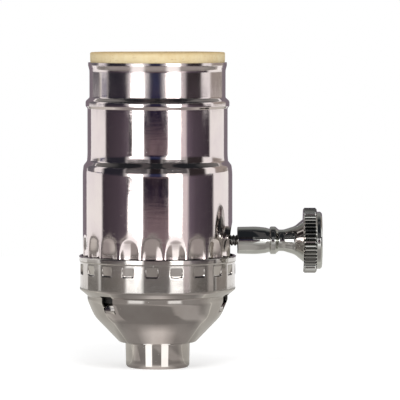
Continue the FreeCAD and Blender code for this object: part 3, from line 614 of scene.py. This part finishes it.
class Shader:
    """A material's nodes, wired by short calls."""

    def __init__(self, name):
        self.material = bpy.data.materials.new(name)
        self.material.use_nodes = True
        self.tree = self.material.node_tree
        self.bsdf = self.tree.nodes["Principled BSDF"]

    def put(self, socket, value):
        if isinstance(value, bpy.types.NodeSocket):
            self.tree.links.new(value, socket)
        else:
            socket.default_value = value

    def node(self, kind, **values):
        """New node with these sockets, or else properties; From_Min is the socket From Min."""
        node = self.tree.nodes.new(kind)
        for key, value in values.items():
            socket = key.replace("_", " ")
            if socket in node.inputs:
                self.put(node.inputs[socket], value)
            else:
                setattr(node, key, value)
        return node

    def set(self, **values):
        """Sets or links the surface's own sockets."""
        for key, value in values.items():
            self.put(self.bsdf.inputs[key.replace("_", " ")], value)

    def where(self, scale=(1, 1, 1)):
        """Object coordinates, stretched."""
        place = self.node("ShaderNodeTexCoord").outputs["Object"]
        return self.node("ShaderNodeMapping", Vector=place, Scale=scale).outputs["Vector"]

    def xyz(self):
        split = self.node("ShaderNodeSeparateXYZ", Vector=self.where())
        return [split.outputs[axis] for axis in "XYZ"]

    def noise(self, scale, detail=3.0, rough=0.5, stretch=(1, 1, 1)):
        place = self.where(stretch)
        node = self.node("ShaderNodeTexNoise", Vector=place, Scale=scale, Detail=detail, Roughness=rough)
        return node.outputs["Fac"]

    def ramp(self, value, low, high, a=0.0, b=1.0):
        """Maps low..high of a value to a..b, held inside."""
        node = self.node("ShaderNodeMapRange", Value=value, From_Min=low, From_Max=high, To_Min=a, To_Max=b)
        return node.outputs["Result"]

    def mix(self, factor, a, b):
        node = self.node("ShaderNodeMix", data_type="RGBA")
        self.put(node.inputs[0], factor)
        self.put(node.inputs[6], a)
        self.put(node.inputs[7], b)
        return node.outputs[2]

    def maths(self, operation, a, b=0.0):
        node = self.node("ShaderNodeMath", operation=operation)
        self.put(node.inputs[0], a)
        self.put(node.inputs[1], b)
        return node.outputs[0]

    def add(self, a, b):
        return self.maths("ADD", a, b)

    def times(self, a, b):
        return self.maths("MULTIPLY", a, b)

    def distance(self, a, b):
        """Length of a line with these two sides."""
        return self.maths("SQRT", self.add(self.times(a, a), self.times(b, b)))

    def between(self, value, start, end, soft):
        """One inside a range, nothing outside it, with soft ends."""
        rise = self.ramp(value, start - soft, start + soft)
        fall = self.ramp(value, end - soft, end + soft, 1.0, 0.0)
        return self.times(rise, fall)

    def stops(self, value, levels):
        """Level for a value, from (value, level) pairs with straight lines between them."""
        level = levels[0][1]
        for (a, before), (b, after) in zip(levels, levels[1:]):
            level = self.add(level, self.ramp(value, a, b, 0.0, after - before))
        return level

    def bump(self, height, distance, strength=1.0, normal=None):
        node = self.node("ShaderNodeBump", Height=height, Distance=distance, Strength=strength)
        if normal is not None:
            self.put(node.inputs["Normal"], normal)
        return node.outputs["Normal"]


def plated(name, colour, stain, rough, wave, drawn, grain, tint=None, dull=None):
    """Nickel plate: tone in faint clouds, uneven polish, a slight waviness, drawn rings and small pits.

    rough is the range of the polish. wave, drawn and grain are heights in metres. tint and dull are
    functions that change the colour and the roughness in one place of the piece.
    """
    s = Shader(name)
    clouds = s.noise(120.0, 3.0, 0.6)
    tone = s.mix(s.ramp(clouds, 0.35, 0.7), rgb(*colour), rgb(*stain))
    polish = s.noise(700.0, 4.0, 0.6, stretch=(1, 1, 0.25))
    roughness = s.ramp(polish, 0.3, 0.75, *rough)
    swell = s.noise(90.0, 1.0, 0.4, stretch=(1, 1, 0.5))
    rings = s.noise(900.0, 2.0, 0.5, stretch=(0.16, 0.16, 1.0))
    pits = s.ramp(s.noise(1900.0, 2.0, 0.5), 0.22, 0.27)
    normal = s.bump(swell, wave)
    normal = s.bump(rings, drawn, 1.0, normal)
    normal = s.bump(pits, grain, 0.6, normal)
    if tint:
        tone = tint(s, tone)
    if dull:
        roughness = dull(s, roughness)
    s.set(Metallic=1.0, Base_Color=tone, Roughness=roughness, Normal=normal)
    return s.material


def top_section_dull(s, roughness):
    """The shell is a little duller above its bead."""
    height = s.xyz()[2]
    return s.add(roughness, s.ramp(height, 65.5 * MM, 67.0 * MM, 0.0, 0.05))


def knurl_painted_shade(s, tone):
    """Painted shade: the grooves of the knob's wheel darkened to near black."""
    x, y, z = s.xyz()
    radius = s.distance(y, s.maths("SUBTRACT", z, AXIS_Z * MM))
    deep = s.ramp(radius, 7.4 * MM, 7.8 * MM, 0.8, 0.0)
    wheel = s.between(x, 35.5 * MM, 38.4 * MM, 0.1 * MM)
    return s.mix(s.times(deep, wheel), tone, rgb(0.02, 0.02, 0.018))


def moulded(name, colour, rough):
    """Moulded plastic with faint flow marks and a fine grain."""
    s = Shader(name)
    flow = s.noise(900.0, 4.0, 0.6)
    light = tuple(min(1.0, c * 1.5 + 0.012) for c in colour)
    s.set(
        Base_Color=s.mix(s.ramp(flow, 0.4, 0.75, 0.0, 0.6), rgb(*colour), rgb(*light)),
        Roughness=s.ramp(flow, 0.3, 0.7, rough, rough + 0.15),
        Normal=s.bump(s.noise(3500.0, 2.0), 0.04 * MM, 0.5),
    )
    return s.material


def worked(name, colour, dark, rough):
    """Bare sheet or turned metal with fine drawn lines and a little tarnish."""
    s = Shader(name)
    tarnish = s.noise(260.0, 4.0, 0.65)
    lines = s.noise(1800.0, 3.0, 0.7, stretch=(1, 1, 0.12))
    s.set(
        Metallic=1.0,
        Base_Color=s.mix(s.ramp(tarnish, 0.4, 0.75, 0.0, 0.8), rgb(*colour), rgb(*dark)),
        Roughness=s.ramp(lines, 0.3, 0.7, rough, rough + 0.18),
        Normal=s.bump(lines, 0.02 * MM, 0.6),
    )
    return s.material


def board(name):
    """Straw-coloured paper board: long fibres, dark flecks, a browner top edge and a soft rough face."""
    straw, tan, pale = rgb(0.84, 0.69, 0.40), rgb(0.76, 0.58, 0.30), rgb(0.90, 0.80, 0.57)
    worn, speck = rgb(0.64, 0.46, 0.22), rgb(0.50, 0.33, 0.15)
    s = Shader(name)
    fibres = s.noise(1500.0, 5.0, 0.7, stretch=(1.0, 1.0, 0.3))
    clouds = s.noise(220.0, 3.0, 0.6)
    flecks = s.ramp(s.noise(2300.0, 2.0, 0.6, stretch=(0.35, 1.0, 1.3)), 0.62, 0.7)
    tone = s.mix(s.ramp(clouds, 0.35, 0.7), straw, tan)
    tone = s.mix(s.ramp(fibres, 0.35, 0.7, 0.0, 0.5), tone, pale)
    tone = s.mix(s.ramp(s.xyz()[2], 75.9 * MM, 76.4 * MM, 0.0, 0.7), tone, worn)
    tone = s.mix(s.times(flecks, 0.6), tone, speck)
    s.set(Base_Color=tone, Roughness=0.85, Normal=s.bump(fibres, 0.08 * MM, 0.7))
    return s.material


materials = {
    "nickel_shell": plated(
        "nickel_shell",
        colour=(0.80, 0.72, 0.69),
        stain=(0.74, 0.65, 0.65),
        rough=(0.05, 0.12),
        wave=0.045 * MM,
        drawn=0.005 * MM,
        grain=0.01 * MM,
        dull=top_section_dull,
    ),
    "nickel_cap": plated(
        "nickel_cap",
        colour=(0.62, 0.59, 0.56),
        stain=(0.54, 0.50, 0.47),
        rough=(0.05, 0.12),
        wave=0.1 * MM,
        drawn=0.005 * MM,
        grain=0.03 * MM,
    ),
    "nickel_knob": plated(
        "nickel_knob",
        colour=(0.66, 0.67, 0.64),
        stain=(0.58, 0.58, 0.55),
        rough=(0.04, 0.10),
        wave=0.05 * MM,
        drawn=0.002 * MM,
        grain=0.02 * MM,
        # painted shade in the grooves of the knob's wheel
        tint=knurl_painted_shade,
    ),
    "liner_board": board("liner_board"),
    "plated_steel": worked("plated_steel", (0.60, 0.59, 0.57), (0.42, 0.40, 0.37), 0.22),
    "black_phenolic": moulded("black_phenolic", (0.012, 0.011, 0.010), 0.36),
    "white_plastic": moulded("white_plastic", (0.78, 0.76, 0.70), 0.40),
    "spring_brass": worked("spring_brass", (0.80, 0.60, 0.28), (0.55, 0.36, 0.15), 0.22),
    "terminal_brass": worked("terminal_brass", (0.76, 0.56, 0.26), (0.50, 0.33, 0.14), 0.24),
    "terminal_silver": worked("terminal_silver", (0.72, 0.71, 0.68), (0.52, 0.50, 0.46), 0.24),
    "brushed_aluminium": worked("brushed_aluminium", (0.80, 0.80, 0.79), (0.62, 0.61, 0.59), 0.20),
    "spring_steel": worked("spring_steel", (0.46, 0.47, 0.49), (0.30, 0.30, 0.31), 0.25),
}


def paint(obj, slot):
    obj.data.materials.clear()
    obj.data.materials.append(materials[slot])


def dress(obj, body, slot, replaced):
    """Gives a new piece its material and its body, and hides the CAD node that it stands for."""
    paint(obj, slot)
    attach(obj, body)
    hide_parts(replaced)


dress(outer_shell(), "housing", "nickel_shell", "outer_shell")
dress(cap_body(), "housing", "nickel_cap", "cap")
dress(paper_liner(), "housing", "liner_board", "paper_liner")
dress(screw_shell(), "housing", "brushed_aluminium", "screw_shell")
dress(neck_bushing(), "housing", "plated_steel", "neck_bushing")
dress(knob_body(), "knob_set", "nickel_knob", "knob")
dress(spindle(), "knob_set", "plated_steel", "spindle")

slots = {part["node"]: part["material_slot"] for part in frame["record"]["subparts"]}
for name, obj in nodes.items():
    paint(obj, slots[name])


# Stage: white floor and surroundings, and a mat, cards and a canopy that only the metal sees.
# Directions are in degrees to the right of the camera's, heights and radii in millimetres.
CAMERA_DISTANCE = 900.0
CAMERA_HEIGHT = 88.0


def seen_directly(tree):
    """One for the camera and for what shows in metal and glass, and nothing for the light on the object."""
    path = tree.nodes.new("ShaderNodeLightPath")
    value = path.outputs["Is Camera Ray"]
    for other in ("Is Glossy Ray", "Is Transmission Ray"):
        either = tree.nodes.new("ShaderNodeMath")
        either.operation = "MAXIMUM"
        tree.links.new(value, either.inputs[0])
        tree.links.new(path.outputs[other], either.inputs[1])
        value = either.outputs[0]
    return value


def make_world(shown=1.0, lighting=0.55):
    """White surroundings, which light the object at a lower level than they show."""
    world = bpy.data.worlds.new("studio")
    bpy.context.scene.world = world
    world.use_nodes = True
    tree = world.node_tree
    background = tree.nodes["Background"]
    background.inputs["Color"].default_value = rgb(1, 1, 1)
    level = tree.nodes.new("ShaderNodeMapRange")
    tree.links.new(seen_directly(tree), level.inputs["Value"])
    level.inputs["To Min"].default_value = lighting
    level.inputs["To Max"].default_value = shown
    tree.links.new(level.outputs["Result"], background.inputs["Strength"])


def make_floor():
    obj = lathe("floor", [(400.0, 0.0), (0.01, 0.0)], 96)
    s = Shader("floor")
    s.set(
        Base_Color=rgb(0.86, 0.86, 0.86),
        Roughness=0.9,
        Specular_IOR_Level=0.0,
        Emission_Color=rgb(1, 1, 1),
        Emission_Strength=s.times(seen_directly(s.tree), 0.5),
    )
    obj.data.materials.append(s.material)


def metal_only(obj, s, colour, cover=None, strength=1.0):
    """Makes a stage piece glow in its own colour, in reflections alone; cover says where it isn't clear."""
    surface = s.node("ShaderNodeEmission", Color=colour, Strength=strength).outputs[0]
    if cover is not None:
        blend = s.node("ShaderNodeMixShader")
        s.put(blend.inputs[0], cover)
        s.put(blend.inputs[1], s.node("ShaderNodeBsdfTransparent").outputs[0])
        s.put(blend.inputs[2], surface)
        surface = blend.outputs[0]
    s.tree.links.new(surface, s.tree.nodes["Material Output"].inputs["Surface"])
    obj.data.materials.append(s.material)
    obj.visible_camera = False
    obj.visible_diffuse = False
    obj.visible_shadow = False
    obj.visible_transmission = False


def bearing(s):
    """Height and radius of a stage piece's point, in millimetres, and its direction, in degrees."""
    x, y, z = s.xyz()
    angle = s.times(s.maths("ARCTAN2", x, s.times(y, -1.0)), math.degrees(1))
    return s.times(z, 1 / MM), s.times(s.distance(x, y), 1 / MM), angle


def card(name, start, end, shades, levels=None, soft=2.0, radius=260.0, low=0.3, high=190.0, strength=1.0):
    """Upright curved card between two directions.

    shades are (height, colour) pairs. levels are (direction, level) pairs that darken it along its way.
    """
    directions = np.radians(np.linspace(start - soft, end + soft, 24))
    x, y = radius * np.sin(directions), -radius * np.cos(directions)
    rows = [np.stack([x, y, np.full_like(x, z)], -1) for z in (low, high)]
    obj = sheet(name, np.stack(rows))
    s = Shader(name)
    height, _, angle = bearing(s)
    colour = rgb(*shades[0][1])
    for (below, _), (above, shade) in zip(shades, shades[1:]):
        colour = s.mix(s.ramp(height, below, above), colour, rgb(*shade))
    if levels:
        colour = s.mix(s.stops(angle, levels), rgb(0, 0, 0), colour)
    cover = s.between(angle, start, end, soft) if soft else None
    metal_only(obj, s, colour, cover, strength)


# The shell's wall mirrors two soft boxes; these are the directions left clear for them
CLEAR_LEFT = (-45.0, -21.5)
CLEAR_RIGHT = (15.4, 38.0)


def make_mat():
    """Grey mat under the object, with two clear ways to the soft boxes."""
    obj = lathe("mat", [(258.0, 0.3), (8.3, 0.3), (7.2, 0.05)], 72)
    s = Shader("mat")
    _, radius, angle = bearing(s)
    aside = s.maths("ABSOLUTE", angle)
    tones = [(7, 0.30), (12, 0.40), (14, 0.36), (16, 0.29), (30, 0.28), (60, 0.36), (165, 0.37), (215, 0.2)]
    front = s.times(s.stops(aside, [(10, 0.5), (42, 0.0)]), s.stops(radius, [(12, 1.0), (14, 0.0)]))
    off_axis = s.stops(aside, [(70, 0.0), (92, 1.0)])
    sides = s.times(off_axis, s.stops(radius, [(12, 0.0), (18, 0.27), (150, 0.24), (200, 0.06)]))
    edge = s.times(s.between(aside, 89.0, 91.0, 1.0), s.stops(radius, [(16, 0.3), (80, 0.3), (90, 0.0)]))
    tone = s.stops(radius, tones)
    for extra in (front, sides, edge, bowl_patch(s, radius, angle)):
        tone = s.add(tone, extra)
    white = s.mix(off_axis, rgb(1.0, 0.94, 0.91), rgb(1.0, 0.98, 0.92))
    ways = s.maths("MAXIMUM", s.between(angle, *CLEAR_LEFT, 2.0), s.between(angle, *CLEAR_RIGHT, 2.0))
    ways = s.times(ways, s.stops(radius, [(40, 0.0), (60, 0.12), (90, 0.35), (130, 1.0)]))
    metal_only(obj, s, s.mix(tone, rgb(0, 0, 0), white), s.maths("SUBTRACT", 1.0, ways))


def bowl_patch(s, radius, angle):
    """Paler places on the mat, to the left and the right, which the cap's bowl mirrors."""
    level = 0.2
    near = s.maths("SUBTRACT", 28.0, radius)
    right = s.add(angle, s.times(near, -2.2))
    left = s.add(s.times(angle, -1.0), s.times(near, 0.8))
    patch = s.add(
        s.stops(right, [(22, 0.0), (28, level), (66, level), (84, 0.0)]),
        s.between(left, 62.0, 84.0, 4.0),
    )
    patch = s.maths("MINIMUM", patch, level)
    return s.times(patch, s.stops(radius, [(18, 0.0), (22, 1.0), (42, 1.0), (60, 0.2)]))


def make_canopy():
    """Dark canopy overhead, paler towards the back and over the two soft boxes."""
    obj = lathe("canopy", [(650.0, 420.0), (560.0, 560.0), (350.0, 680.0), (1.0, 720.0)], 48)
    s = Shader("canopy")
    _, radius, angle = bearing(s)
    over_left = s.between(angle, *CLEAR_LEFT, 3.0)
    over_right = s.between(angle, CLEAR_RIGHT[0], 45.0, 3.0)
    lit = s.maths("MAXIMUM", over_left, over_right)
    colour = s.mix(lit, rgb(0.02, 0.022, 0.026), rgb(0.09, 0.085, 0.088))
    behind = s.stops(s.maths("ABSOLUTE", angle), [(90, 0.0), (150, 1.0)])
    behind = s.times(behind, s.stops(radius, [(50, 0.0), (400, 1.0)]))
    metal_only(obj, s, s.mix(behind, colour, rgb(0.30, 0.30, 0.29)))


def look_at(obj, place, target):
    obj.location = Vector(place) * MM
    obj.rotation_mode = "QUATERNION"
    obj.rotation_quaternion = (Vector(target) * MM - obj.location).to_track_quat("-Z", "Y")


def soft_box(name, direction, height, distance, width, tall, power, mirrored=True):
    """Lamp that faces the object; mirrored says whether the metal shows it."""
    data = bpy.data.lights.new(name, "AREA")
    data.shape = "RECTANGLE"
    data.size = width * MM
    data.size_y = tall * MM
    data.energy = power
    obj = bpy.data.objects.new(name, data)
    obj.visible_glossy = mirrored
    bpy.context.scene.collection.objects.link(obj)
    a = math.radians(direction)
    look_at(obj, (distance * math.sin(a), -distance * math.cos(a), height), (0, 0, 35.0))


def make_camera():
    """Camera at the photograph's angle, a little above the object and looking slightly down."""
    data = bpy.data.cameras.new("camera")
    data.sensor_width = 36.0
    data.lens = 334.0
    data.clip_start = 0.05
    data.clip_end = 20.0
    obj = bpy.data.objects.new("camera", data)
    bpy.context.scene.collection.objects.link(obj)
    middle_x, middle_z = 10.3, 40.7
    look_at(obj, (middle_x, -CAMERA_DISTANCE, CAMERA_HEIGHT), (middle_x, 0.0, middle_z))
    bpy.context.scene.camera = obj


make_world()
make_floor()

# Colours of the cards
WHITE = (1.0, 1.0, 1.0)
PALE = (0.90, 0.88, 0.88)
CREAM = (0.7, 0.68, 0.66)
STONE = (0.56, 0.53, 0.51)
SAND = (0.38, 0.34, 0.31)
EDGE_SHADE = (0.36, 0.355, 0.31)
GREY = (0.36, 0.34, 0.32)
LEAD = (0.33, 0.31, 0.30)
BACK_SHADE = (0.22, 0.19, 0.22)
LEFT_SHADE = (0.125, 0.100, 0.128)
RIGHT_SHADE = (0.175, 0.140, 0.180)
HIGH_LEFT_SHADE = (0.15, 0.145, 0.165)
LINE_SHADE = (0.09, 0.09, 0.17)
DUSK = (0.09, 0.088, 0.092)
NIGHT = (0.032, 0.029, 0.044)
NIGHT_TOP = (0.024, 0.024, 0.034)
UMBER = (0.040, 0.034, 0.036)
UMBER_TOP = (0.034, 0.028, 0.030)
OVER_SHADE = (0.020, 0.016, 0.022)
INDIGO = (0.014, 0.010, 0.026)

# The wall at height z mirrors a card at z - 0.275 (CAMERA_HEIGHT - z), so the shell's bead mirrors SPLIT
SPLIT = 57.5
RIM_TONES = [(4.5, GREY), (6.5, STONE), (9.3, STONE)]  # what the cap's rim mirrors at both sides

# To the left
card(
    "card_left",
    -91,
    -45,
    RIM_TONES + [(11, LEFT_SHADE)],
    levels=[(-91, 0.4), (-60, 0.65), (-45, 1.0)],
    high=SPLIT,
)
card("card_left_top", -91, -49, [(58, NIGHT), (62, NIGHT_TOP)], soft=4.0, low=SPLIT)
card("card_left_over", -47, -38.5, [(41, OVER_SHADE)], low=41, high=SPLIT)
card("card_left_under", -47, -41.5, [(29, OVER_SHADE)], low=29, high=41)
card("card_left_step", -43.5, -35.5, [(31, OVER_SHADE)], low=31, high=39)

# To the right
card("card_rim_side", 78.5, 88, [(0, STONE)], radius=256.0, high=10.5)
card(
    "card_right",
    47,
    93.4,
    RIM_TONES + [(11, RIGHT_SHADE)],
    levels=[(47, 1.0), (60, 0.55), (93.4, 0.25)],
    high=SPLIT,
)
card("card_right_top", 47, 78, [(58, UMBER), (62, UMBER_TOP)], soft=3.0, low=SPLIT)
card("card_rim", 38, 47, [(57, (0.80, 0.72, 0.74)), (59, (0.55, 0.52, 0.53))], high=75)

# Behind, and at the sides behind the others, mirrored near the object's outline
card("card_back", 138, 222, [(0, BACK_SHADE)], soft=0, low=12)
card("card_line", -105.5, -91, [(58, LINE_SHADE)], soft=1.0, low=58.5, high=67)
card("card_line_edge", -114, -107, [(58, EDGE_SHADE)], soft=1.5, low=58.5, high=67)
card("card_high_left", -138, -112, [(0, HIGH_LEFT_SHADE)], low=SPLIT)
card("card_high_right", 99, 138, [(61, SAND), (63.5, (0.20, 0.18, 0.17)), (66, SAND)], low=SPLIT)
card("card_low_left", -122, -94, [(5, (0.26, 0.25, 0.24)), (12, CREAM)], high=12)
card("card_low_right", 94, 121, [(5, (0.32, 0.29, 0.27)), (12, CREAM)], high=12)

# In the middle, between the two soft boxes
card(
    "card_middle",
    -21.5,
    18.5,
    [
        (5, (0.19, 0.18, 0.18)),
        (6.5, LEAD),
        (9.5, LEAD),
        (12, (0.22, 0.165, 0.185)),
        (23, (0.22, 0.165, 0.180)),
        (29.5, (0.014, 0.009, 0.028)),
        (34, (0.014, 0.010, 0.024)),
        (37, (0.016, 0.010, 0.013)),
        (41.3, (0.016, 0.011, 0.014)),
        (43, (0.23, 0.17, 0.19)),
        (46, (0.22, 0.16, 0.18)),
        (51, (0.018, 0.012, 0.030)),
        (56, INDIGO),
    ],
    high=SPLIT,
)
card(
    "card_middle_top",
    -15,
    9.5,
    [
        (SPLIT, INDIGO),
        (60.3, (0.030, 0.030, 0.075)),
        (61.8, (0.076, 0.085, 0.175)),
        (63.3, (0.018, 0.022, 0.077)),
        (65.5, (0.060, 0.075, 0.172)),
        (67.6, (0.010, 0.0135, 0.041)),
        (72.0, (0.012, 0.013, 0.035)),
        (80.0, (0.018, 0.015, 0.018)),
    ],
    soft=5.0,
    low=SPLIT,
)

# In front of the soft boxes' tops, so that their reflections end at the shell's flared mouth
card(
    "card_over_left",
    -49,
    -14,
    [(65.5, WHITE), (67.5, (0.40, 0.40, 0.45)), (70, PALE), (73, PALE), (77, DUSK)],
    low=65,
)
card("card_over_right", 8, 47, [(73, PALE), (77, DUSK)], low=72.5)

# Close to the neck, whose wall mirrors the mat and not the soft boxes
for side, start, end in (("left", -23.7, -10.6), ("right", 7.7, 21.8)):
    card("card_foot_" + side, start, end, [(0, WHITE)], soft=0.5, radius=8.6, high=6.1, strength=1.8)

make_mat()
make_canopy()
soft_box("soft_left", -33.3, height=75, distance=700, width=285, tall=190, power=0.85)
soft_box("soft_right", 26.7, height=75, distance=700, width=276, tall=190, power=0.85)
soft_box("soft_top", 10, height=650, distance=500, width=300, tall=300, power=1.65, mirrored=False)
make_camera()
bpy.context.scene.view_settings.view_transform = "Standard"
